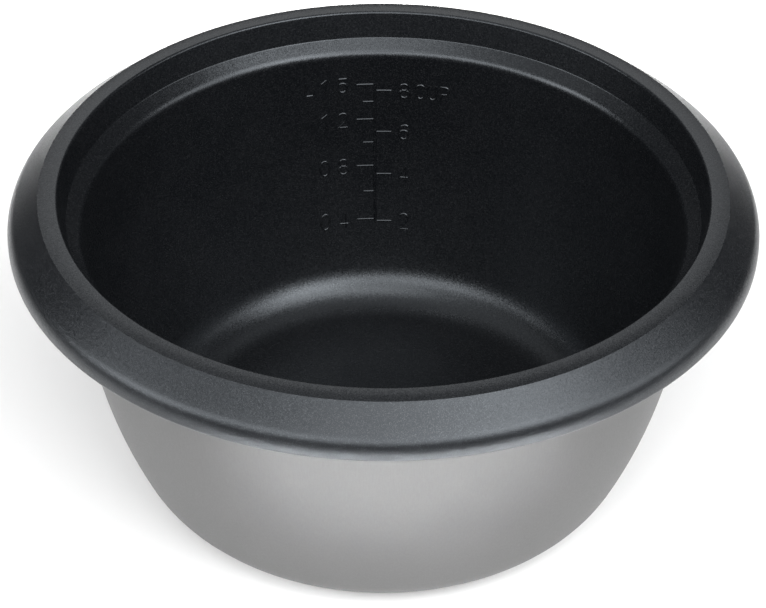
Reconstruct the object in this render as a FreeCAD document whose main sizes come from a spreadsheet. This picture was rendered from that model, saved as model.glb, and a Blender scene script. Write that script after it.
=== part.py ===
# Inner pot of a rice cooker: a three-layer bowl with a non-stick cooking surface, a lid ledge,
# a sloping rim collar and a raised water scale.
# Millimetres, +Z up. The origin is the centre of the flat underside, on the pot's axis of
# revolution. The water scale is on the +Y side of the wall.
import FreeCAD, Part
import math
import os
import Sketcher

os.makedirs("parts", exist_ok=True)
doc = FreeCAD.newDocument("rice_cooker_pot")

# ---------------------------------------------------------------- driving dimensions
DIMENSIONS = (
    ("rim_height", 117.8, "top of the lip above the underside"),
    ("outer_sheet", 0.6, "satin outer bowl, sheet thickness"),
    ("core_sheet", 1.2, "heat-spreading core, sheet thickness"),
    ("pan_sheet", 0.8, "coated cooking pan, sheet thickness"),
    ("corner_radius", 19.9, "fillet between the cooking floor and the wall"),
    ("wall_curve", 195.0, "radius of the wall's inward curve, in section"),
    ("wall_radius", 102.8, "cooking surface radius where the wall is upright"),
    ("curve_start", 88.8, "height below which the wall curves in"),
    ("shoulder_radius", 4.4, "rounded inner edge of the lid ledge, in section"),
    ("shoulder_height", 101.6, "top of the upright wall, where the shoulder starts"),
    ("ledge_slope", 39.0, "degrees that the lid ledge falls toward the axis"),
    ("ledge_fillet", 0.8, "fillet between the ledge and the upper wall"),
    ("lip_radius", 110.3, "upper wall's radius at the top of the lip"),
    ("upper_wall_lean", 13.0, "degrees that the upper wall leans outward"),
    ("lip_round", 1.0, "rounded inner edge of the lip"),
    ("ring_thickness", 1.1, "top ring, thickness beside the lip"),
    ("ring_flat_radius", 113.3, "radius where the top ring starts to fall away"),
    ("crease_radius", 116.8, "crease between the top ring and the collar"),
    ("crease_drop", 0.3, "crease below the top of the lip"),
    ("collar_sheet", 1.4, "rim collar, sheet thickness"),
    ("collar_slope", 39.0, "degrees that the collar falls below level"),
    ("collar_radius", 127.7, "widest radius of the collar"),
    ("collar_bend", 7.0, "outer radius of the collar's bend, in section"),
    ("hem_bend", 1.8, "outer radius of the turned-in lower edge, in section"),
    ("hem_height", 102.3, "flat face under the hem above the underside"),
    ("hem_inner_radius", 124.3, "inner radius of the turned-in hem"),
    ("mark_relief", 0.3, "how far the scale stands out of the wall"),
    ("mark_width", 0.7, "width of a scale mark"),
    ("line_width", 1.3, "width of the scale's upright line"),
    ("line_bottom", 32.1, "bottom of the scale's upright line"),
    ("long_mark", 7.0, "reach of a numbered litre mark from the middle of the upright line"),
    ("short_mark", 4.5, "reach of an unnumbered litre mark from the middle of the line"),
    ("cup_mark", 6.3, "reach of a cup mark from the middle of the upright line"),
)
# The level of each mark above the underside: litres of dry rice on the left, cups on the right.
LITRE_LEVELS = (
    ("litre_1_50", 90.4, "long"),
    ("litre_1_35", 82.7, "short"),
    ("litre_1_20", 75.0, "long"),
    ("litre_1_00", 65.0, "short"),
    ("litre_0_80", 55.1, "long"),
    ("litre_0_60", 44.5, "short"),
    ("litre_0_40", 33.3, "long"),
)
CUP_LEVELS = (
    ("cups_eight", 87.6),
    ("cups_six", 69.5),
    ("cups_four", 51.6),
    ("cups_two", 32.5),
)


def fill_sheet():
    """Put every driving dimension in the sheet under its alias."""
    sheet = doc.addObject("Spreadsheet::Sheet", "dims")
    rows = list(DIMENSIONS)
    rows += [(alias, level, "litre mark above the underside") for alias, level, _ in LITRE_LEVELS]
    rows += [(alias, level, "cup mark above the underside") for alias, level in CUP_LEVELS]
    for row, (alias, value, note) in enumerate(rows, start=1):
        sheet.set(f"A{row}", alias)
        sheet.set(f"B{row}", str(value))
        sheet.set(f"C{row}", note)
        sheet.setAlias(f"B{row}", alias)
    doc.recompute()
    return sheet


sheet = fill_sheet()


def dim(alias):
    return float(getattr(sheet, alias))


def total(*aliases):
    """The sum of some sheet values, as a number and as an expression."""
    number = sum(dim(alias) for alias in aliases)
    expression = " + ".join(f"dims.{alias}" for alias in aliases)
    return number, f"({expression})"


# Distances outward from the cooking surface: its own skin, then each layer's outer face.
NO_OFFSET = (0, "0")
PAN_OUTSIDE = total("pan_sheet")
CORE_OUTSIDE = total("pan_sheet", "core_sheet")
BOWL_OUTSIDE = total("pan_sheet", "core_sheet", "outer_sheet")

# Sketcher's numbers for an edge's ends and for the sketch's own origin and axes.
START, END, CENTRE = 1, 2, 3
LEVEL_AXIS, UPRIGHT_AXIS = -1, -2


class Section:
    """A closed half section on a body's XZ plane: x is the radius and y is the height."""

    def __init__(self, body, name):
        self.sketch = body.newObject("Sketcher::SketchObject", name)
        plane = next(f for f in body.Origin.OriginFeatures if f.Role == "XZ_Plane")
        self.sketch.AttachmentSupport = [(plane, "")]
        self.sketch.MapMode = "FlatFace"

    def line(self, start, end, direction=None):
        first = FreeCAD.Vector(*start, 0)
        last = FreeCAD.Vector(*end, 0)
        edge = self.sketch.addGeometry(Part.LineSegment(first, last), False)
        if direction:
            self.sketch.addConstraint(Sketcher.Constraint(direction, edge))
        return edge

    def arc(self, centre, radius, start_degrees, end_degrees):
        """An arc that runs anticlockwise from one angle to the other."""
        circle = Part.Circle(FreeCAD.Vector(*centre, 0), FreeCAD.Vector(0, 0, 1), radius)
        span = (math.radians(start_degrees), math.radians(end_degrees))
        return self.sketch.addGeometry(Part.ArcOfCircle(circle, *span), False)

    def meet(self, kind, *ends):
        """Join two edge ends: kind is Coincident for a corner and Tangent for a smooth run."""
        self.sketch.addConstraint(Sketcher.Constraint(kind, *ends))

    def size(self, name, expression, kind, *where):
        """A named dimension, bound to the sheet."""
        index = self.sketch.addConstraint(Sketcher.Constraint(kind, *where))
        self.sketch.renameConstraint(index, name)
        self.sketch.setExpression(f"Constraints.{name}", expression)

    def place(self, name, edge, end, radius=None, height=None):
        """Fix one end of an edge. Each place is a (number, expression) pair."""
        if radius:
            where = (LEVEL_AXIS, START, edge, end, radius[0])
            self.size(f"{name}_radius", radius[1], "DistanceX", *where)
        if height:
            where = (LEVEL_AXIS, START, edge, end, height[0])
            self.size(f"{name}_height", height[1], "DistanceY", *where)


def revolve(body, section, kind):
    feature = body.newObject(f"PartDesign::{kind}", f"{body.Name}_{kind.lower()}")
    feature.Profile = section.sketch
    feature.ReferenceAxis = (section.sketch, ["V_Axis"])
    feature.Angle = 360
    section.sketch.Visibility = False
    return feature


def new_body(label):
    body = doc.addObject("PartDesign::Body", label)
    body.Label = label
    return body


def along(start, direction, distance):
    """The point at a distance from the start, along a unit direction."""
    return start[0] + direction[0] * distance, start[1] + direction[1] * distance


# ---------------------------------------------------------------- the bowl's layers
def bowl_section(body, name, outward, top):
    """Everything inside the surface that lies the distance outward from the cooking surface.

    The outline runs from the axis along the floor, round the corner, up the curved wall, over
    the shoulder and the sloping lid ledge, and up the leaning upper wall to the height top.
    """
    offset, offset_text = outward
    base, base_text = BOWL_OUTSIDE
    top_number, top_text = top
    lean = math.radians(dim("upper_wall_lean"))
    floor = base - offset
    corner = dim("corner_radius") + offset
    curve = dim("wall_curve") + offset
    wall = dim("wall_radius") + offset
    shoulder = dim("shoulder_radius") - offset
    fillet = dim("ledge_fillet") + offset
    slope = math.radians(dim("ledge_slope"))
    curve_start = dim("curve_start")
    top_radius = dim("lip_radius") + offset / math.cos(lean)
    top_radius += (top_number - dim("rim_height")) * math.tan(lean)

    # Where the tangent arcs meet.
    corner_height = floor + corner
    meeting = math.asin((curve_start - corner_height) / (curve - corner))
    corner_centre = (wall - curve + (curve - corner) * math.cos(meeting), corner_height)
    meeting_point = (
        corner_centre[0] + corner * math.cos(meeting),
        corner_centre[1] - corner * math.sin(meeting),
    )
    shoulder_centre = (wall + shoulder, dim("shoulder_height"))
    ledge_normal = (-math.sin(slope), math.cos(slope))
    wall_normal = (-math.cos(lean), math.sin(lean))
    ledge_start = along(shoulder_centre, ledge_normal, shoulder)
    rise = top_number - ledge_start[1] + ledge_start[0] * math.tan(slope)
    root_radius = top_radius - math.tan(lean) * rise
    root_radius /= 1 - math.tan(slope) * math.tan(lean)
    root = (root_radius, ledge_start[1] + (root_radius - ledge_start[0]) * math.tan(slope))
    reach = fillet / (1 + math.sin(slope + lean))
    fillet_centre = along(along(root, ledge_normal, reach), wall_normal, reach)
    ledge_end = along(fillet_centre, ledge_normal, -fillet)
    fillet_end = along(fillet_centre, wall_normal, -fillet)

    section = Section(body, name)
    axis = section.line((0, top_number), (0, floor), "Vertical")
    floor_line = section.line((0, floor), (corner_centre[0], floor), "Horizontal")
    meeting_degrees = -math.degrees(meeting)
    corner_arc = section.arc(corner_centre, corner, -90, meeting_degrees)
    wall_arc = section.arc((wall - curve, curve_start), curve, meeting_degrees, 0)
    wall_line = section.line((wall, curve_start), (wall, shoulder_centre[1]), "Vertical")
    slope_degrees = dim("ledge_slope")
    shoulder_arc = section.arc(shoulder_centre, shoulder, 90 + slope_degrees, 180)
    ledge_line = section.line(ledge_start, ledge_end)
    fillet_arc = section.arc(fillet_centre, fillet, slope_degrees - 90, -math.degrees(lean))
    upper_wall = section.line(fillet_end, (top_radius, top_number))
    top_line = section.line((top_radius, top_number), (0, top_number), "Horizontal")

    section.meet("PointOnObject", axis, START, UPRIGHT_AXIS)
    section.meet("Coincident", axis, END, floor_line, START)
    section.meet("Tangent", floor_line, END, corner_arc, START)
    section.meet("Tangent", corner_arc, END, wall_arc, START)
    section.meet("Tangent", wall_arc, END, wall_line, START)
    section.meet("Tangent", wall_line, END, shoulder_arc, END)
    section.meet("Tangent", shoulder_arc, START, ledge_line, START)
    section.meet("Tangent", ledge_line, END, fillet_arc, START)
    section.meet("Tangent", fillet_arc, END, upper_wall, START)
    section.meet("Coincident", upper_wall, END, top_line, START)
    section.meet("Coincident", top_line, END, axis, START)

    if floor > 0:
        section.place("floor", floor_line, END, height=(floor, f"{base_text} - {offset_text}"))
    else:
        section.meet("PointOnObject", floor_line, START, LEVEL_AXIS)
    section.size("corner", f"dims.corner_radius + {offset_text}", "Radius", corner_arc, corner)
    section.size("curve", f"dims.wall_curve + {offset_text}", "Radius", wall_arc, curve)
    section.size("fillet", f"dims.ledge_fillet + {offset_text}", "Radius", fillet_arc, fillet)
    shoulder_text = f"dims.shoulder_radius - {offset_text}"
    section.size("shoulder", shoulder_text, "Radius", shoulder_arc, shoulder)
    wall_text = f"dims.wall_radius + {offset_text}"
    curve_text = "dims.curve_start"
    section.place("wall", wall_line, START, (wall, wall_text), (curve_start, curve_text))
    shoulder_height = (shoulder_centre[1], "dims.shoulder_height")
    section.place("shoulder", wall_line, END, height=shoulder_height)
    section.size("ledge", "dims.ledge_slope", "Angle", ledge_line, slope)
    radius_text = (
        f"dims.lip_radius + {offset_text} / cos(dims.upper_wall_lean * 1 deg)"
        f" + ({top_text} - dims.rim_height) * tan(dims.upper_wall_lean * 1 deg)"
    )
    section.place("top", upper_wall, END, (top_radius, radius_text), (top_number, top_text))
    lean_text = "90 - dims.upper_wall_lean"
    section.size("lean", lean_text, "Angle", upper_wall, math.pi / 2 - lean)
    return section


def under_ring():
    """Height of the top ring's flat underside, where the two outer layers stop."""
    return dim("rim_height") - dim("ring_thickness"), "dims.rim_height - dims.ring_thickness"


def above_rim():
    """A height clear above the rim, for a cut that leaves the mouth open."""
    clearance = 2
    return dim("rim_height") + clearance, f"dims.rim_height + {clearance}"


def make_layer(label, outside, inside):
    """One sheet of the bowl, between two offsets of the cooking surface."""
    body = new_body(label)
    revolve(body, bowl_section(body, f"{label}_outside", outside, under_ring()), "Revolution")
    doc.recompute()
    revolve(body, bowl_section(body, f"{label}_inside", inside, under_ring()), "Groove")
    return body


# ---------------------------------------------------------------- the cooking pan's top ring
def ring_section(body):
    """The top ring as a disc, level beside the lip and falling away to the crease."""
    rim, rim_text = dim("rim_height"), "dims.rim_height"
    under, under_text = under_ring()
    flat = dim("ring_flat_radius")
    crease = dim("crease_radius")
    drop = dim("crease_drop")
    fall_radius = ((crease - flat) ** 2 + drop ** 2) / (2 * drop)
    fall_degrees = 90 - math.degrees(math.asin((crease - flat) / fall_radius))

    section = Section(body, "ring_outline")
    axis = section.line((0, rim), (0, under), "Vertical")
    underside = section.line((0, under), (crease, under), "Horizontal")
    edge = section.line((crease, under), (crease, rim - drop), "Vertical")
    fall = section.arc((flat, rim - fall_radius), fall_radius, fall_degrees, 90)
    level = section.line((flat, rim), (0, rim), "Horizontal")

    section.meet("PointOnObject", axis, START, UPRIGHT_AXIS)
    section.meet("Coincident", axis, END, underside, START)
    section.meet("Coincident", underside, END, edge, START)
    section.meet("Coincident", edge, END, fall, START)
    section.meet("Tangent", fall, END, level, START)
    section.meet("Coincident", level, END, axis, START)

    crease_height = (rim - drop, "dims.rim_height - dims.crease_drop")
    section.place("underside", underside, START, height=(under, under_text))
    section.place("crease", edge, END, (crease, "dims.crease_radius"), crease_height)
    section.place("flat", level, START, (flat, "dims.ring_flat_radius"), (rim, rim_text))
    return section


def make_pan():
    """The coated pan: floor, wall, ledge, upper wall, rounded lip and top ring in one sheet."""
    body = new_body("cooking_pan")
    outside = bowl_section(body, "pan_outside", PAN_OUTSIDE, under_ring())
    revolve(body, outside, "Revolution")
    ring = revolve(body, ring_section(body), "Revolution")
    doc.recompute()
    solid_volume = ring.Shape.Volume
    cut = revolve(body, bowl_section(body, "pan_inside", NO_OFFSET, above_rim()), "Groove")
    doc.recompute()
    if cut.Shape.Volume > 0.2 * solid_volume:
        raise RuntimeError("the pan has not been hollowed")
    fillet = body.newObject("PartDesign::Fillet", "lip_fillet")
    fillet.Base = (cut, [circle_edge(cut.Shape, dim("lip_radius"), dim("rim_height"))])
    fillet.Radius = dim("lip_round")
    fillet.setExpression("Radius", "dims.lip_round")
    return body


def circle_edge(shape, radius, height):
    """The name of the round edge with this radius at this height."""
    for number, edge in enumerate(shape.Edges, start=1):
        curve = edge.Curve
        if not isinstance(curve, Part.Circle):
            continue
        if abs(curve.Radius - radius) < 0.01 and abs(curve.Center.z - height) < 0.01:
            return f"Edge{number}"
    raise RuntimeError("no round edge there")


# ---------------------------------------------------------------- the rim collar
def collar_section(body):
    """The collar in section: a tongue under the top ring, the slope, the bend and the hem."""
    sheet_thickness = dim("collar_sheet")
    slope = math.radians(dim("collar_slope"))
    widest, bend, hem = dim("collar_radius"), dim("collar_bend"), dim("hem_bend")
    hem_height, hem_inner = dim("hem_height"), dim("hem_inner_radius")
    crease = (dim("crease_radius"), dim("rim_height") - dim("crease_drop"))
    tongue_top, tongue_text = under_ring()
    tongue_under = tongue_top - sheet_thickness
    wall_offset, wall_text = BOWL_OUTSIDE
    tongue_inner = dim("lip_radius") + wall_offset / math.cos(math.radians(dim("upper_wall_lean")))

    # The bend's centre: its arc is tangent to the slope and to the upright edge.
    centre_radius = widest - bend
    reach = (centre_radius - crease[0]) * math.sin(slope) + bend
    bend_centre = (centre_radius, crease[1] - reach / math.cos(slope))
    hem_centre = (widest - hem, hem_height + hem)
    slope_normal = 90 - math.degrees(slope)

    def on_bend(radius):
        across = bend_centre[0] + radius * math.sin(slope)
        return across, bend_centre[1] + radius * math.cos(slope)

    inner_bend, inner_hem = bend - sheet_thickness, hem - sheet_thickness
    inner_slope_end = on_bend(inner_bend)
    run = (tongue_under - inner_slope_end[1]) / math.tan(slope)
    knee = (inner_slope_end[0] - run, tongue_under)

    section = Section(body, "collar_outline")
    tongue = section.line((tongue_inner, tongue_top), (crease[0], tongue_top), "Horizontal")
    butt = section.line((crease[0], tongue_top), crease, "Vertical")
    slope_line = section.line(crease, on_bend(bend))
    bend_arc = section.arc(bend_centre, bend, 0, slope_normal)
    edge = section.line((widest, bend_centre[1]), (widest, hem_centre[1]), "Vertical")
    hem_arc = section.arc(hem_centre, hem, -90, 0)
    hem_face = section.line((hem_centre[0], hem_height), (hem_inner, hem_height), "Horizontal")
    hem_top_height = hem_height + sheet_thickness
    hem_end = section.line((hem_inner, hem_height), (hem_inner, hem_top_height), "Vertical")
    hem_top = section.line((hem_inner, hem_top_height), (hem_centre[0], hem_top_height), "Horizontal")
    inner_hem_arc = section.arc(hem_centre, inner_hem, -90, 0)
    inner_radius = widest - sheet_thickness
    inner_edge = section.line((inner_radius, hem_centre[1]), (inner_radius, bend_centre[1]))
    inner_bend_arc = section.arc(bend_centre, inner_bend, 0, slope_normal)
    inner_slope = section.line(inner_slope_end, knee)
    tongue_face = section.line(knee, (tongue_inner, tongue_under), "Horizontal")
    tongue_end = section.line((tongue_inner, tongue_under), (tongue_inner, tongue_top), "Vertical")

    section.meet("Coincident", tongue, END, butt, START)
    section.meet("Coincident", butt, END, slope_line, START)
    section.meet("Tangent", slope_line, END, bend_arc, END)
    section.meet("Tangent", bend_arc, START, edge, START)
    section.meet("Tangent", edge, END, hem_arc, END)
    section.meet("Tangent", hem_arc, START, hem_face, START)
    section.meet("Coincident", hem_face, END, hem_end, START)
    section.meet("Coincident", hem_end, END, hem_top, START)
    section.meet("Tangent", hem_top, END, inner_hem_arc, START)
    section.meet("Tangent", inner_hem_arc, END, inner_edge, START)
    section.meet("Tangent", inner_edge, END, inner_bend_arc, START)
    section.meet("Tangent", inner_bend_arc, END, inner_slope, START)
    section.meet("Coincident", inner_slope, END, tongue_face, START)
    section.meet("Coincident", tongue_face, END, tongue_end, START)
    section.meet("Coincident", tongue_end, END, tongue, START)
    section.meet("Coincident", inner_bend_arc, CENTRE, bend_arc, CENTRE)
    section.meet("Coincident", inner_hem_arc, CENTRE, hem_arc, CENTRE)
    section.meet("Parallel", inner_slope, slope_line)

    thickness_text = "dims.collar_sheet"
    crease_height = (crease[1], "dims.rim_height - dims.crease_drop")
    section.place("crease", slope_line, START, (crease[0], "dims.crease_radius"), crease_height)
    inner_text = f"dims.lip_radius + {wall_text} / cos(dims.upper_wall_lean * 1 deg)"
    tongue_height = (tongue_top, tongue_text)
    section.place("tongue", tongue, START, (tongue_inner, inner_text), tongue_height)
    section.size("tongue", thickness_text, "DistanceY", tongue_end, START, tongue_end, END,
                 sheet_thickness)
    section.size("slope", "dims.collar_slope", "Angle", slope_line, START, tongue, START, slope)
    section.size("bend", "dims.collar_bend", "Radius", bend_arc, bend)
    inner_bend_text = f"dims.collar_bend - {thickness_text}"
    section.size("inner_bend", inner_bend_text, "Radius", inner_bend_arc, inner_bend)
    section.size("hem", "dims.hem_bend", "Radius", hem_arc, hem)
    inner_hem_text = f"dims.hem_bend - {thickness_text}"
    section.size("inner_hem", inner_hem_text, "Radius", inner_hem_arc, inner_hem)
    section.place("edge", edge, END, radius=(widest, "dims.collar_radius"))
    hem_place = ((hem_inner, "dims.hem_inner_radius"), (hem_height, "dims.hem_height"))
    section.place("hem_end", hem_end, START, *hem_place)
    return section


def make_collar():
    body = new_body("rim_collar")
    revolve(body, collar_section(body), "Revolution")
    return body


# ---------------------------------------------------------------- the raised water scale
def make_skin():
    """A thin layer on the inside of the wall, which every mark of the scale is a piece of."""
    body = new_body("scale_skin")
    revolve(body, bowl_section(body, "skin_outside", NO_OFFSET, under_ring()), "Revolution")
    doc.recompute()
    proud = (-dim("mark_relief"), "(-dims.mark_relief)")
    revolve(body, bowl_section(body, "skin_inside", proud, under_ring()), "Groove")
    return body


def mark_bar(name, left, length, bottom, height):
    """A bar through the +Y wall. Each argument is a (number, expression) pair."""
    bar = doc.addObject("Part::Box", name)
    inward, outward = dim("wall_radius") / 2, dim("wall_radius") + dim("pan_sheet")
    bar.Placement.Base = FreeCAD.Vector(left[0], inward, bottom[0])
    bar.Length, bar.Width, bar.Height = length[0], outward - inward, height[0]
    bar.setExpression("Placement.Base.x", left[1])
    bar.setExpression("Placement.Base.y", "dims.wall_radius / 2")
    bar.setExpression("Placement.Base.z", bottom[1])
    bar.setExpression("Length", length[1])
    bar.setExpression("Width", "dims.wall_radius / 2 + dims.pan_sheet")
    bar.setExpression("Height", height[1])
    return bar


def level_bar(alias, left, length):
    """A level mark, centred on its height in the sheet."""
    width = dim("mark_width")
    bottom = (dim(alias) - width / 2, f"dims.{alias} - dims.mark_width / 2")
    return mark_bar(f"{alias}_bar", left, length, bottom, (width, "dims.mark_width"))


def make_marks(label, skin, bars):
    """The parts of the skin inside the bars, as one node of separate solids."""
    group = doc.addObject("Part::Compound", f"{label}_bars")
    group.Links = bars
    marks = doc.addObject("Part::Common", label)
    marks.Base = skin
    marks.Tool = group
    marks.Label = label
    return marks


def make_litre_marks(skin):
    """Marks on the left of the upright line, long where they carry a number."""
    half = dim("line_width") / 2
    bars = []
    for alias, _, kind in LITRE_LEVELS:
        reach = f"{kind}_mark"
        left = (-dim(reach), f"-dims.{reach}")
        length = (dim(reach) - half, f"dims.{reach} - dims.line_width / 2")
        bars.append(level_bar(alias, left, length))
    return make_marks("litre_marks", skin, bars)


def make_cup_marks(skin):
    """Marks on the right of the upright line."""
    half = dim("line_width") / 2
    left = (half, "dims.line_width / 2")
    length = (dim("cup_mark") - half, "dims.cup_mark - dims.line_width / 2")
    return make_marks("cup_marks", skin, [level_bar(alias, left, length) for alias, _ in CUP_LEVELS])


def make_scale_line(skin):
    """The upright line, from the lowest mark to the top edge of the highest one."""
    width = dim("line_width")
    left = (-width / 2, "-dims.line_width / 2")
    bottom = (dim("line_bottom"), "dims.line_bottom")
    height_number = dim("litre_1_50") + dim("mark_width") / 2 - dim("line_bottom")
    height_text = "dims.litre_1_50 + dims.mark_width / 2 - dims.line_bottom"
    bar = mark_bar("scale_line_bar", left, (width, "dims.line_width"), bottom,
                   (height_number, height_text))
    return make_marks("scale_line", skin, [bar])


# ---------------------------------------------------------------- build, check and write
def check_objects():
    """Stop if anything in the document failed."""
    for item in doc.Objects:
        if "Invalid" in item.State or "Error" in item.State:
            raise RuntimeError(f"{item.Label} failed: {item.State}")


def check_shape(part, solids):
    shape = part.Shape
    if shape.isNull() or not shape.isValid() or len(shape.Solids) != solids:
        raise RuntimeError(f"{part.Label} is not {solids} valid solid(s)")


skin = make_skin()
nodes = (
    (make_pan(), 1),
    (make_layer("heat_core", CORE_OUTSIDE, PAN_OUTSIDE), 1),
    (make_layer("outer_bowl", BOWL_OUTSIDE, CORE_OUTSIDE), 1),
    (make_collar(), 1),
    (make_litre_marks(skin), len(LITRE_LEVELS)),
    (make_cup_marks(skin), len(CUP_LEVELS)),
    (make_scale_line(skin), 1),
)
doc.recompute()
check_objects()
for part, solids in nodes:
    check_shape(part, solids)
for part, solids in nodes:
    part.Shape.exportStep(f"parts/{part.Label}.step")
    print(f"{part.Label}: {solids} solid(s), {part.Shape.Volume / 1000:.2f} cm3")
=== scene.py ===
"""The inner pot of a rice cooker: spun sheet-metal pieces, coated black inside and satin outside."""

import math

import bpy
from mathutils import Matrix, Vector


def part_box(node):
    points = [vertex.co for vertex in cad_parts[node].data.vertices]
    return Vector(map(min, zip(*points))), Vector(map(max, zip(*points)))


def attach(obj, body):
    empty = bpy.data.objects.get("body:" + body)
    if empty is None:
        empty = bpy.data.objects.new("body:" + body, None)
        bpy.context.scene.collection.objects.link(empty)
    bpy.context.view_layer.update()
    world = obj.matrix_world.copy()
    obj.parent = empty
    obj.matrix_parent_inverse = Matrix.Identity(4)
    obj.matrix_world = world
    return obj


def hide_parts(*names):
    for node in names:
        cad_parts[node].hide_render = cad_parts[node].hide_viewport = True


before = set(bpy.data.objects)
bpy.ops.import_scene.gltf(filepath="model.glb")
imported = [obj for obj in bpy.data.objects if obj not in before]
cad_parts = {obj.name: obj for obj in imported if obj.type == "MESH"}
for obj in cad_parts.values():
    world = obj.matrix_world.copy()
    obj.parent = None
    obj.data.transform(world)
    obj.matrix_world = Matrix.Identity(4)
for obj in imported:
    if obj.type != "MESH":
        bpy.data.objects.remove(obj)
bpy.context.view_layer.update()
MM = 0.001

# ------------------------------------------------------------------ sizes, in millimetres
# The same section as the CAD. The height of the rim and of the collar's hem are read from the frame.
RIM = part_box("cooking_pan")[1].z / MM
COLLAR_EDGE = 127.7
SHEETS = {"cooking_pan": 0.8, "heat_core": 1.2, "outer_bowl": 0.6}
WALL_THICKNESS = sum(SHEETS.values())
CORNER = 19.9
WALL_CURVE = 195.0
WALL = 102.8
CURVE_START = 88.8
SHOULDER = 4.4
SHOULDER_HEIGHT = 101.6
LEDGE_SLOPE = math.radians(39.0)
LEDGE_FILLET = 0.8
LIP = 110.3
LEAN = math.radians(13.0)
LIP_ROUND = 1.0
UNDER_RING = RIM - 1.1
RING_FLAT = 113.3
CREASE = (116.8, RIM - 0.3)
COLLAR_SHEET = 1.4
COLLAR_SLOPE = math.radians(39.0)
COLLAR_BEND = 7.0
HEM_BEND = 1.8
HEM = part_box("rim_collar")[0].z / MM
HEM_INNER = 124.3

# How finely the section and the turn are divided, in degrees and in steps.
ARC_STEP = 6.0
LARGE_RADIUS = 100.0
LARGE_ARC_SHARE = 4
FLOOR_STEPS = 6
SLOPE_STEPS = 4
SPIN_STEPS = 240
SHARP_ANGLE = math.radians(28.0)
SAME_PLACE = 1e-6


# ------------------------------------------------------------------ outlines
def arc(centre, radius, start, end):
    """Points round an arc, in degrees, from start to end."""
    steps = max(2, round(abs(end - start) / ARC_STEP))
    if radius > LARGE_RADIUS:
        steps *= LARGE_ARC_SHARE
    points = []
    for i in range(steps + 1):
        angle = math.radians(start + (end - start) * i / steps)
        points.append((centre[0] + radius * math.cos(angle), centre[1] + radius * math.sin(angle)))
    return points


def run(start, end, steps):
    """Points along a straight run, without its first."""
    share = [i / steps for i in range(1, steps + 1)]
    return [(start[0] + (end[0] - start[0]) * s, start[1] + (end[1] - start[1]) * s) for s in share]


def along(start, direction, distance):
    """The point at a distance from the start, along a unit direction."""
    return start[0] + direction[0] * distance, start[1] + direction[1] * distance


def bowl_line(outward, top):
    """The surface that lies outward of the cooking surface, from the axis up to the height top."""
    floor = WALL_THICKNESS - outward
    corner, curve = CORNER + outward, WALL_CURVE + outward
    wall = WALL + outward
    shoulder, fillet = SHOULDER - outward, LEDGE_FILLET + outward
    corner_height = floor + corner
    meeting = math.asin((CURVE_START - corner_height) / (curve - corner))
    corner_radius = wall - curve + (curve - corner) * math.cos(meeting)
    tilt = math.degrees(meeting)

    top_radius = LIP + outward / math.cos(LEAN) + (top - RIM) * math.tan(LEAN)
    ledge_normal = (-math.sin(LEDGE_SLOPE), math.cos(LEDGE_SLOPE))
    wall_normal = (-math.cos(LEAN), math.sin(LEAN))
    shoulder_centre = (wall + shoulder, SHOULDER_HEIGHT)
    ledge_start = along(shoulder_centre, ledge_normal, shoulder)
    rise = top - ledge_start[1] + ledge_start[0] * math.tan(LEDGE_SLOPE)
    root_radius = top_radius - math.tan(LEAN) * rise
    root_radius /= 1 - math.tan(LEDGE_SLOPE) * math.tan(LEAN)
    root = (root_radius, ledge_start[1] + (root_radius - ledge_start[0]) * math.tan(LEDGE_SLOPE))
    reach = fillet / (1 + math.sin(LEDGE_SLOPE + LEAN))
    fillet_centre = along(along(root, ledge_normal, reach), wall_normal, reach)

    points = [(0.0, floor)]
    points += run((0.0, floor), (corner_radius, floor), FLOOR_STEPS)
    points += arc((corner_radius, corner_height), corner, -90, -tilt)[1:]
    points += arc((wall - curve, CURVE_START), curve, -tilt, 0)[1:]
    slope = math.degrees(LEDGE_SLOPE)
    points += arc(shoulder_centre, shoulder, 180, 90 + slope)
    points += arc(fillet_centre, fillet, slope - 90, -math.degrees(LEAN))
    points.append((top_radius, top))
    return points


def pan_outline():
    """The cooking pan in section: the cooking surface, the lip, the top ring, and the back."""
    lip_radius = LIP - LIP_ROUND * math.tan(LEAN) + LIP_ROUND / math.cos(LEAN)
    lip = arc((lip_radius, RIM - LIP_ROUND), LIP_ROUND, 180 - math.degrees(LEAN), 90)
    across, drop = CREASE[0] - RING_FLAT, RIM - CREASE[1]
    fall = (across ** 2 + drop ** 2) / (2 * drop)
    fall_angle = 90 - math.degrees(math.asin(across / fall))
    ring = arc((RING_FLAT, RIM - fall), fall, 90, fall_angle)
    front = bowl_line(0.0, RIM)[:-1]
    back = bowl_line(SHEETS["cooking_pan"], UNDER_RING)
    return front + lip + ring + [(CREASE[0], UNDER_RING)] + back[::-1]


def layer_outline(inside, outside):
    """One sheet of the bowl between two distances from the cooking surface."""
    return bowl_line(inside, UNDER_RING) + bowl_line(outside, UNDER_RING)[::-1]


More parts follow.
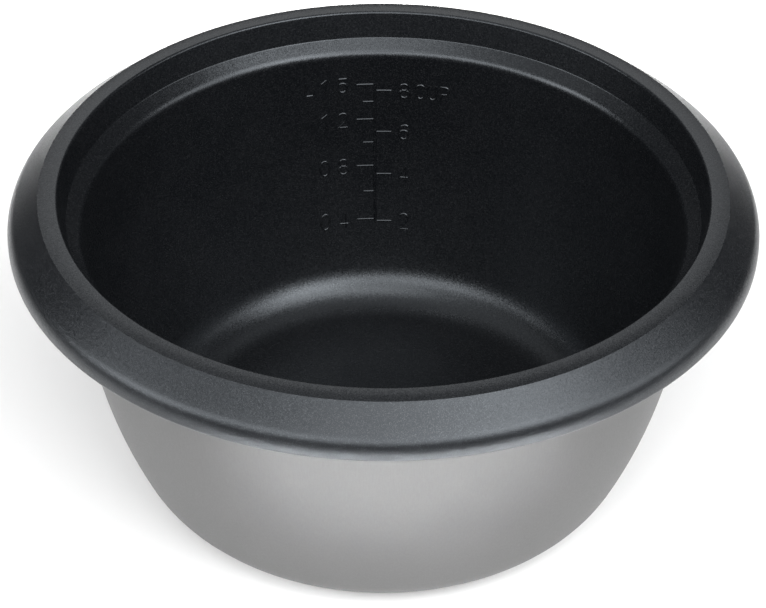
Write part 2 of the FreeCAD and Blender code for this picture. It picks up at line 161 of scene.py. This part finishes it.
def collar_outline():
    """The collar in section, round from the crease over the bend and hem and back inside."""
    normal = 90 - math.degrees(COLLAR_SLOPE)
    centre_radius = COLLAR_EDGE - COLLAR_BEND
    reach = (centre_radius - CREASE[0]) * math.sin(COLLAR_SLOPE) + COLLAR_BEND
    bend = (centre_radius, CREASE[1] - reach / math.cos(COLLAR_SLOPE))
    hem = (COLLAR_EDGE - HEM_BEND, HEM + HEM_BEND)
    inner_radius = LIP + WALL_THICKNESS / math.cos(LEAN)
    under = UNDER_RING - COLLAR_SHEET

    outer_bend = arc(bend, COLLAR_BEND, normal, 0)
    inner_bend = arc(bend, COLLAR_BEND - COLLAR_SHEET, 0, normal)
    knee = inner_bend[-1][0] - (under - inner_bend[-1][1]) / math.tan(COLLAR_SLOPE)
    outline = [(inner_radius, UNDER_RING), (CREASE[0], UNDER_RING), CREASE]
    outline += run(CREASE, outer_bend[0], SLOPE_STEPS)[:-1] + outer_bend
    outline += arc(hem, HEM_BEND, 0, -90)
    outline += [(HEM_INNER, HEM), (HEM_INNER, HEM + COLLAR_SHEET)]
    outline += arc(hem, HEM_BEND - COLLAR_SHEET, -90, 0)
    outline += inner_bend
    outline += [(knee, under), (inner_radius, under)]
    return outline


# ------------------------------------------------------------------ meshes
def spin(name, outline):
    """A closed mesh of revolution from a closed section. Points on the axis become poles."""
    rings = []
    vertices = []
    for radius, height in outline:
        if radius < SAME_PLACE:
            rings.append([len(vertices)])
            vertices.append((0.0, 0.0, height * MM))
            continue
        rings.append(list(range(len(vertices), len(vertices) + SPIN_STEPS)))
        for i in range(SPIN_STEPS):
            angle = 2 * math.pi * i / SPIN_STEPS
            across = (radius * math.cos(angle) * MM, radius * math.sin(angle) * MM)
            vertices.append((*across, height * MM))
    faces = []
    pairs = zip(rings, rings[1:] + rings[:1])
    for low, high in pairs:
        if len(low) == 1 and len(high) == 1:
            continue
        for i in range(SPIN_STEPS):
            j = (i + 1) % SPIN_STEPS
            if len(low) == 1:
                faces.append((low[0], high[j], high[i]))
            elif len(high) == 1:
                faces.append((low[i], low[j], high[0]))
            else:
                faces.append((low[i], low[j], high[j], high[i]))
    return make_object(name, vertices, faces)


def make_object(name, vertices, faces):
    mesh = bpy.data.meshes.new(name)
    mesh.from_pydata(vertices, [], faces)
    mesh.update()
    mesh.polygons.foreach_set("use_smooth", [True] * len(mesh.polygons))
    mesh.set_sharp_from_angle(angle=SHARP_ANGLE)
    piece = bpy.data.objects.new(name, mesh)
    bpy.context.scene.collection.objects.link(piece)
    return piece


# ------------------------------------------------------------------ the raised water scale
# Half widths of the ridges, and the size of the numbers and letters.
RIDGE = 0.45
LINE_RIDGE = 0.65
DIGIT_HEIGHT = 6.0
DIGIT_WIDTH = 3.5
# One flank of a ridge from its sunk foot: share of its half width, and how far it stands proud.
FLANK = ((1.0, -0.05), (0.72, 0.14), (0.42, 0.25), (0.12, 0.30))
LINE_BOTTOM = 32.1
LINE_STEPS = 24
MARK_STEPS = 6
OVAL_STEP = 12
# A corner's side is divided by at least this, so that it never grows past twice the stroke's width.
LEAST_CORNER = 0.25

# Each litre mark: its height, its reach and its number. Each cup mark: its height and its number.
LITRES = ((90.4, 7.0, "1.5"), (82.7, 4.5, ""), (75.0, 7.0, "1.2"), (65.0, 4.5, ""),
          (55.1, 7.0, "0.8"), (44.5, 4.5, ""), (33.3, 7.0, "0.4"))
CUPS = ((87.6, "8"), (69.5, "6"), (51.6, "4"), (32.5, "2"))
CUP_REACH = 6.3
# Left edges along the wall from the upright line: the litre sign, whole digit, point and tenths,
# then the cup number and the letters after the highest one.
LITRE_SIGN_LEFT = -27.0
WHOLE_LEFT = -21.4
POINT_LEFT = -16.6
TENTHS_LEFT = -14.1
CUP_NUMBER_LEFT = 9.4
CUP_LETTERS_LEFT = (15.5, 20.3, 25.1)


def wall_point(across, height, proud):
    """A point this far proud of the cooking surface, by arc length from +Y and by height."""
    radius, lean = WALL, 0.0
    if height < CURVE_START:
        fall = CURVE_START - height
        lean = math.asin(fall / WALL_CURVE)
        radius = WALL - WALL_CURVE + WALL_CURVE * math.cos(lean)
    angle = across / radius
    inner = radius - proud * math.cos(lean)
    level = height + proud * math.sin(lean)
    return (inner * math.sin(angle) * MM, inner * math.cos(angle) * MM, level * MM)


def oval(centre, half, start, end):
    """Points round part of an oval, in degrees anticlockwise, in a glyph's unit square."""
    steps = max(4, round(abs(end - start) / OVAL_STEP))
    points = []
    for i in range(steps + 1):
        angle = math.radians(start + (end - start) * i / steps)
        points.append((centre[0] + half[0] * math.cos(angle), centre[1] + half[1] * math.sin(angle)))
    return points


# Each glyph is a list of strokes in a unit square, x to the right and y up.
GLYPHS = {
    "0": [oval((0.5, 0.5), (0.5, 0.5), 0, 360)],
    "1": [[(0.25, 0.76), (0.75, 1.0), (0.75, 0.0)]],
    "2": [oval((0.5, 0.7), (0.47, 0.3), 155, -35) + [(0.03, 0.0), (1.0, 0.0)]],
    "4": [[(0.98, 0.28), (0.0, 0.28), (0.72, 1.0), (0.72, 0.0)]],
    "5": [[(0.92, 1.0), (0.14, 1.0), (0.08, 0.52)] + oval((0.48, 0.33), (0.5, 0.33), 130, -145)],
    "6": [[(0.9, 0.93)] + oval((0.62, 0.55), (0.6, 0.45), 80, 180)
          + oval((0.5, 0.31), (0.48, 0.31), 180, 540)],
    "8": [oval((0.5, 0.76), (0.4, 0.24), 0, 360), oval((0.5, 0.27), (0.5, 0.27), 0, 360)],
    ".": [[(0.1, -0.03), (0.1, 0.05)]],
    "C": [oval((0.55, 0.5), (0.53, 0.5), 50, 310)],
    "U": [[(0.04, 1.0), (0.04, 0.34)] + oval((0.5, 0.34), (0.46, 0.34), 180, 360) + [(0.96, 1.0)]],
    "P": [[(0.08, 0.0), (0.08, 1.0), (0.5, 1.0)]
          + oval((0.5, 0.73), (0.42, 0.27), 90, -90) + [(0.08, 0.46)]],
    "L": [[(0.1, 1.0), (0.1, 0.0), (0.85, 0.0)]],
}


def glyph_strokes(character, left, level):
    """A glyph's strokes on the wall, its left edge and middle height given."""
    bottom = level - DIGIT_HEIGHT / 2
    return [[(left + x * DIGIT_WIDTH, bottom + y * DIGIT_HEIGHT) for x, y in stroke]
            for stroke in GLYPHS[character]]


def stroke_sides(points, closed):
    """At each point of a stroke, the step to its left that keeps the stroke's width."""
    sides = []
    last = len(points) - 1
    for i, point in enumerate(points):
        before = points[i - 1] if closed or i > 0 else point
        after = points[(i + 1) % len(points)] if closed or i < last else point
        legs = []
        for start, end in ((before, point), (point, after)):
            length = math.dist(start, end)
            if length > 0:
                legs.append(((start[1] - end[1]) / length, (end[0] - start[0]) / length))
        x, y = sum(leg[0] for leg in legs) / len(legs), sum(leg[1] for leg in legs) / len(legs)
        square = max(x * x + y * y, LEAST_CORNER)
        sides.append((x / square, y / square))
    return sides


def ridges(name, strokes, half):
    """Raised strokes with sloping flanks, their feet sunk in the wall, as one closed mesh."""
    flank = [(half * across, proud) for across, proud in FLANK]
    profile = flank + [(-across, proud) for across, proud in reversed(flank)]
    sides = len(profile)
    vertices, faces = [], []
    for stroke in strokes:
        closed = len(stroke) > 3 and math.dist(stroke[0], stroke[-1]) < SAME_PLACE
        points = stroke[:-1] if closed else stroke
        first = len(vertices)
        for (across, height), (x, y) in zip(points, stroke_sides(points, closed)):
            for step, proud in profile:
                vertices.append(wall_point(across + x * step, height + y * step, proud))
        count = len(points)
        for i in range(count if closed else count - 1):
            here, there = first + sides * i, first + sides * ((i + 1) % count)
            for k in range(sides):
                n = (k + 1) % sides
                faces.append((here + k, there + k, there + n, here + n))
        if not closed:
            end = first + sides * (count - 1)
            faces.append(tuple(range(first, first + sides)))
            faces.append(tuple(reversed(range(end, end + sides))))
    return make_object(name, vertices, faces)


def level_stroke(start, end, level):
    reach = end - start
    return [(start + reach * i / MARK_STEPS, level) for i in range(MARK_STEPS + 1)]


def litre_labels():
    strokes = []
    for level, _, text in LITRES:
        if text:
            strokes += glyph_strokes(text[0], WHOLE_LEFT, level)
            strokes += glyph_strokes(".", POINT_LEFT, level)
            strokes += glyph_strokes(text[2], TENTHS_LEFT, level)
    strokes += glyph_strokes("L", LITRE_SIGN_LEFT, LITRES[0][0])
    return strokes


def cup_labels():
    strokes = []
    for level, text in CUPS:
        strokes += glyph_strokes(text, CUP_NUMBER_LEFT, level)
    for left, letter in zip(CUP_LETTERS_LEFT, "CUP"):
        strokes += glyph_strokes(letter, left, CUPS[0][0])
    return strokes


# ------------------------------------------------------------------ materials
class Nodes:
    """A short way to write a material's nodes."""

    def __init__(self, name):
        self.material = bpy.data.materials.new(name)
        self.material.use_nodes = True
        self.tree = self.material.node_tree
        self.shader = self.tree.nodes["Principled BSDF"]
        coordinates = self.tree.nodes.new("ShaderNodeTexCoord")
        self.place = coordinates.outputs["Object"]

    def link(self, source, target):
        self.tree.links.new(source, target)

    def stretched(self, scale):
        node = self.tree.nodes.new("ShaderNodeMapping")
        node.inputs["Scale"].default_value = scale
        self.link(self.place, node.inputs["Vector"])
        return node.outputs["Vector"]

    def noise(self, scale, detail=2.0, vector=None):
        node = self.tree.nodes.new("ShaderNodeTexNoise")
        node.inputs["Scale"].default_value = scale
        node.inputs["Detail"].default_value = detail
        self.link(vector or self.place, node.inputs["Vector"])
        return node.outputs["Fac"]

    def cells(self, size):
        """One random colour per cell of about this size."""
        node = self.tree.nodes.new("ShaderNodeTexVoronoi")
        node.inputs["Scale"].default_value = 1 / size
        self.link(self.place, node.inputs["Vector"])
        return node.outputs["Color"]

    def spread(self, source, low, high, from_low=0.0, from_high=1.0):
        node = self.tree.nodes.new("ShaderNodeMapRange")
        self.link(source, node.inputs["Value"])
        node.inputs["From Min"].default_value = from_low
        node.inputs["From Max"].default_value = from_high
        node.inputs["To Min"].default_value = low
        node.inputs["To Max"].default_value = high
        return node.outputs["Result"]

    def blend(self, share, first, second):
        node = self.tree.nodes.new("ShaderNodeMix")
        node.data_type = "RGBA"
        self.link(share, node.inputs["Factor"])
        node.inputs["A"].default_value = (*first, 1.0)
        node.inputs["B"].default_value = (*second, 1.0)
        return node.outputs["Result"]

    def math(self, operation, first, second):
        node = self.tree.nodes.new("ShaderNodeMath")
        node.operation = operation
        for socket, value in zip(node.inputs, (first, second)):
            if isinstance(value, (int, float)):
                socket.default_value = value
            else:
                self.link(value, socket)
        return node.outputs["Value"]

    def tilt(self, colours, amount):
        """The surface normal, leaned by each cell's random colour."""
        centred = self.tree.nodes.new("ShaderNodeVectorMath")
        centred.operation = "SUBTRACT"
        self.link(colours, centred.inputs[0])
        centred.inputs[1].default_value = (0.5, 0.5, 0.5)
        scaled = self.tree.nodes.new("ShaderNodeVectorMath")
        scaled.operation = "SCALE"
        self.link(centred.outputs["Vector"], scaled.inputs[0])
        scaled.inputs["Scale"].default_value = amount
        geometry = self.tree.nodes.new("ShaderNodeNewGeometry")
        added = self.tree.nodes.new("ShaderNodeVectorMath")
        added.operation = "ADD"
        self.link(geometry.outputs["Normal"], added.inputs[0])
        self.link(scaled.outputs["Vector"], added.inputs[1])
        unit = self.tree.nodes.new("ShaderNodeVectorMath")
        unit.operation = "NORMALIZE"
        self.link(added.outputs["Vector"], unit.inputs[0])
        return unit.outputs["Vector"]

    def bump(self, height, distance, strength, normal=None):
        node = self.tree.nodes.new("ShaderNodeBump")
        node.inputs["Distance"].default_value = distance
        node.inputs["Strength"].default_value = strength
        self.link(height, node.inputs["Height"])
        if normal:
            self.link(normal, node.inputs["Normal"])
        return node.outputs["Normal"]


def coating(name, flake_size, flake_tilt, sparkle, roughness):
    """Black non-stick coating: a dark satin film with fine metallic flake, its size in metres."""
    n = Nodes(name)
    flakes = n.cells(flake_size)
    split = n.tree.nodes.new("ShaderNodeSeparateColor")
    n.link(flakes, split.inputs["Color"])
    glint = n.spread(split.outputs["Red"], 0.0, sparkle, 0.72, 1.0)
    cloud = n.noise(55.0, 3.0)
    share = n.math("ADD", glint, n.spread(cloud, 0.0, 0.004, 0.35, 0.65))
    colour = n.blend(share, (0.0028, 0.0032, 0.0040), (0.30, 0.31, 0.33))
    n.link(colour, n.shader.inputs["Base Color"])
    grain = n.noise(1400.0, 1.0)
    rough = n.math("ADD", n.spread(grain, -0.03, 0.03, 0.3, 0.7), roughness)
    n.link(rough, n.shader.inputs["Roughness"])
    normal = n.bump(grain, 0.00002, 0.35, n.tilt(flakes, flake_tilt))
    n.link(normal, n.shader.inputs["Normal"])
    n.shader.inputs["IOR"].default_value = 1.52
    n.shader.inputs["Specular Tint"].default_value = (0.86, 0.93, 1.0, 1.0)
    return n.material


def satin_metal(name):
    """Pale satin steel with a faint upright grain."""
    n = Nodes(name)
    streaks = n.noise(2600.0, 2.0, n.stretched((1.0, 1.0, 0.09)))
    speck = n.noise(1500.0, 2.0)
    cloud = n.noise(28.0, 2.0)
    tone = n.math("ADD", n.spread(streaks, 0.0, 0.5, 0.3, 0.7), n.spread(cloud, 0.0, 0.5, 0.3, 0.7))
    n.link(n.blend(tone, (0.165, 0.165, 0.165), (0.185, 0.185, 0.185)), n.shader.inputs["Base Color"])
    rough = n.math("ADD", n.spread(speck, -0.03, 0.03, 0.3, 0.7), n.spread(cloud, 0.47, 0.51))
    n.link(rough, n.shader.inputs["Roughness"])
    n.link(n.bump(streaks, 0.00001, 0.3), n.shader.inputs["Normal"])
    n.shader.inputs["Metallic"].default_value = 1.0
    return n.material


def rolled_aluminium(name):
    n = Nodes(name)
    grain = n.noise(900.0, 3.0, n.stretched((1.0, 0.08, 1.0)))
    n.link(n.blend(grain, (0.72, 0.73, 0.74), (0.82, 0.83, 0.84)), n.shader.inputs["Base Color"])
    n.link(n.spread(grain, 0.30, 0.42), n.shader.inputs["Roughness"])
    n.shader.inputs["Metallic"].default_value = 1.0
    return n.material


# ------------------------------------------------------------------ the pieces
def finish_piece(piece, material, node=None):
    piece.data.materials.clear()
    piece.data.materials.append(material)
    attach(piece, "root")
    if node:
        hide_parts(node)


pan_coat = coating("pan_coating", flake_size=0.00022, flake_tilt=0.11, sparkle=0.05, roughness=0.28)
collar_coat = coating("collar_coating", flake_size=0.00018, flake_tilt=0.15, sparkle=0.10, roughness=0.33)
scale_coat = coating("scale_coating", flake_size=0.00022, flake_tilt=0.03, sparkle=0.05, roughness=0.13)
satin = satin_metal("satin_steel")
aluminium = rolled_aluminium("core_aluminium")

pan_back = SHEETS["cooking_pan"]
core_back = pan_back + SHEETS["heat_core"]
finish_piece(spin("pan_shell", pan_outline()), pan_coat, "cooking_pan")
finish_piece(spin("core_shell", layer_outline(pan_back, core_back)), aluminium,
             "heat_core")
finish_piece(spin("bowl_shell", layer_outline(core_back, WALL_THICKNESS)), satin,
             "outer_bowl")
finish_piece(spin("collar_shell", collar_outline()), collar_coat, "rim_collar")

litre_strokes = [level_stroke(-reach, -LINE_RIDGE, level) for level, reach, _ in LITRES]
cup_strokes = [level_stroke(LINE_RIDGE, CUP_REACH, level) for level, _ in CUPS]
line_length = LITRES[0][0] + RIDGE - LINE_BOTTOM
line_stroke = [(0.0, LINE_BOTTOM + line_length * i / LINE_STEPS) for i in range(LINE_STEPS + 1)]
scale_pieces = (
    ("litre_mark_ridges", litre_strokes, RIDGE, "litre_marks"),
    ("cup_mark_ridges", cup_strokes, RIDGE, "cup_marks"),
    ("scale_line_ridge", [line_stroke], LINE_RIDGE, "scale_line"),
    ("litre_numbers", litre_labels(), RIDGE, None),
    ("cup_numbers", cup_labels(), RIDGE, None),
)
for name, strokes, half, node in scale_pieces:
    finish_piece(ridges(name, strokes, half), scale_coat, node)


# ------------------------------------------------------------------ floor, light and camera
# Sizes, places and distances here are in metres, powers in watts and angles in degrees.
FLOOR_WIDTH = 12.0
PANEL_DISTANCE = 1.5
PANEL_SIZE = (0.9, 0.65)
PANEL_SPREAD = 70.0
POT_MIDDLE = (0.0, 0.0, 0.06)


def make_floor():
    material = bpy.data.materials.new("floor_white")
    material.use_nodes = True
    shader = material.node_tree.nodes["Principled BSDF"]
    shader.inputs["Base Color"].default_value = (0.95, 0.95, 0.95, 1.0)
    shader.inputs["Roughness"].default_value = 0.9
    bpy.ops.mesh.primitive_plane_add(size=FLOOR_WIDTH, location=(0.0, 0.0, 0.0))
    floor = bpy.context.object
    floor.name = "floor"
    floor.data.materials.append(material)


def softbox(name, place, size, power, spread, target=POT_MIDDLE):
    """A soft panel with a grid, aimed at the target."""
    light = bpy.data.lights.new(name, "AREA")
    light.shape = "RECTANGLE"
    light.size, light.size_y = size
    light.energy = power
    light.spread = math.radians(spread)
    lamp = bpy.data.objects.new(name, light)
    lamp.location = place
    lamp.rotation_euler = (Vector(target) - lamp.location).to_track_quat("-Z", "Y").to_euler()
    bpy.context.scene.collection.objects.link(lamp)


def around(azimuth, elevation, distance):
    """A place about the pot. Azimuth 0 is the -Y side, and it grows towards +X."""
    turn, lift = math.radians(azimuth), math.radians(elevation)
    flat = math.cos(lift) * distance
    return Vector((math.sin(turn) * flat, -math.cos(turn) * flat, math.sin(lift) * distance))


def make_world(colour, strength):
    world = bpy.data.worlds.new("studio")
    world.use_nodes = True
    background = world.node_tree.nodes["Background"]
    background.inputs["Color"].default_value = (*colour, 1.0)
    background.inputs["Strength"].default_value = strength
    bpy.context.scene.world = world


def make_camera():
    """A 110 mm lens that looks down on the pot from a little off its front. Distances in mm."""
    side_turn = math.radians(-1.98)
    look_down = math.radians(37.75)
    roll = math.radians(0.33)
    distance, slip = 793.8, -42.2
    turn = Matrix.Rotation(side_turn, 3, "Z")
    ahead = turn @ Vector((0.0, math.cos(look_down), -math.sin(look_down)))
    up = turn @ Vector((0.0, math.sin(look_down), math.cos(look_down)))
    right = turn @ Vector((1.0, 0.0, 0.0))
    rolled_right = right * math.cos(roll) + up * math.sin(roll)
    rolled_up = up * math.cos(roll) - right * math.sin(roll)
    mouth = Vector((0.0, 0.0, CREASE[1] * MM))
    place = mouth + (up * slip - ahead * distance) * MM

    data = bpy.data.cameras.new("camera")
    data.sensor_width = 36.0
    data.lens = 110.0
    camera = bpy.data.objects.new("camera", data)
    axes = Matrix((rolled_right, rolled_up, -ahead)).transposed()
    camera.matrix_world = Matrix.Translation(place) @ axes.to_4x4()
    bpy.context.scene.collection.objects.link(camera)
    bpy.context.scene.camera = camera


make_floor()
# A row of lower panels and a row of upper ones in front: azimuth, elevation and power.
FRONT_PANELS = ((-74, 27, 1.6), (-36, 37, 1.4), (0, 37, 1.3), (36, 38, 1.7), (74, 28, 0.9),
                (-36, 58, 0.12), (2, 64, 0.90), (50, 54, 1.40))
for number, (azimuth, elevation, power) in enumerate(FRONT_PANELS):
    place = around(azimuth, elevation, PANEL_DISTANCE)
    softbox(f"front_{number}", place, PANEL_SIZE, power, PANEL_SPREAD)
softbox("back", around(180, 36, 1.8), (2.0, 0.8), 0.9, PANEL_SPREAD)
softbox("top", (-0.3, 0.1, 1.7), (2.0, 2.2), 4.6, 130.0)
# Two lights straight down, on the table in front of the pot and behind it.
softbox("table_front", (0.02, -0.21, 1.1), (0.26, 0.05), 1.9, 8.0, (0.02, -0.21, 0.0))
softbox("table_back", (-0.04, 0.50, 1.1), (0.8, 0.25), 1.8, 36.0, (-0.04, 0.50, 0.0))
make_world((0.95, 0.97, 1.0), 0.05)
make_camera()
bpy.context.scene.view_settings.view_transform = "Standard"
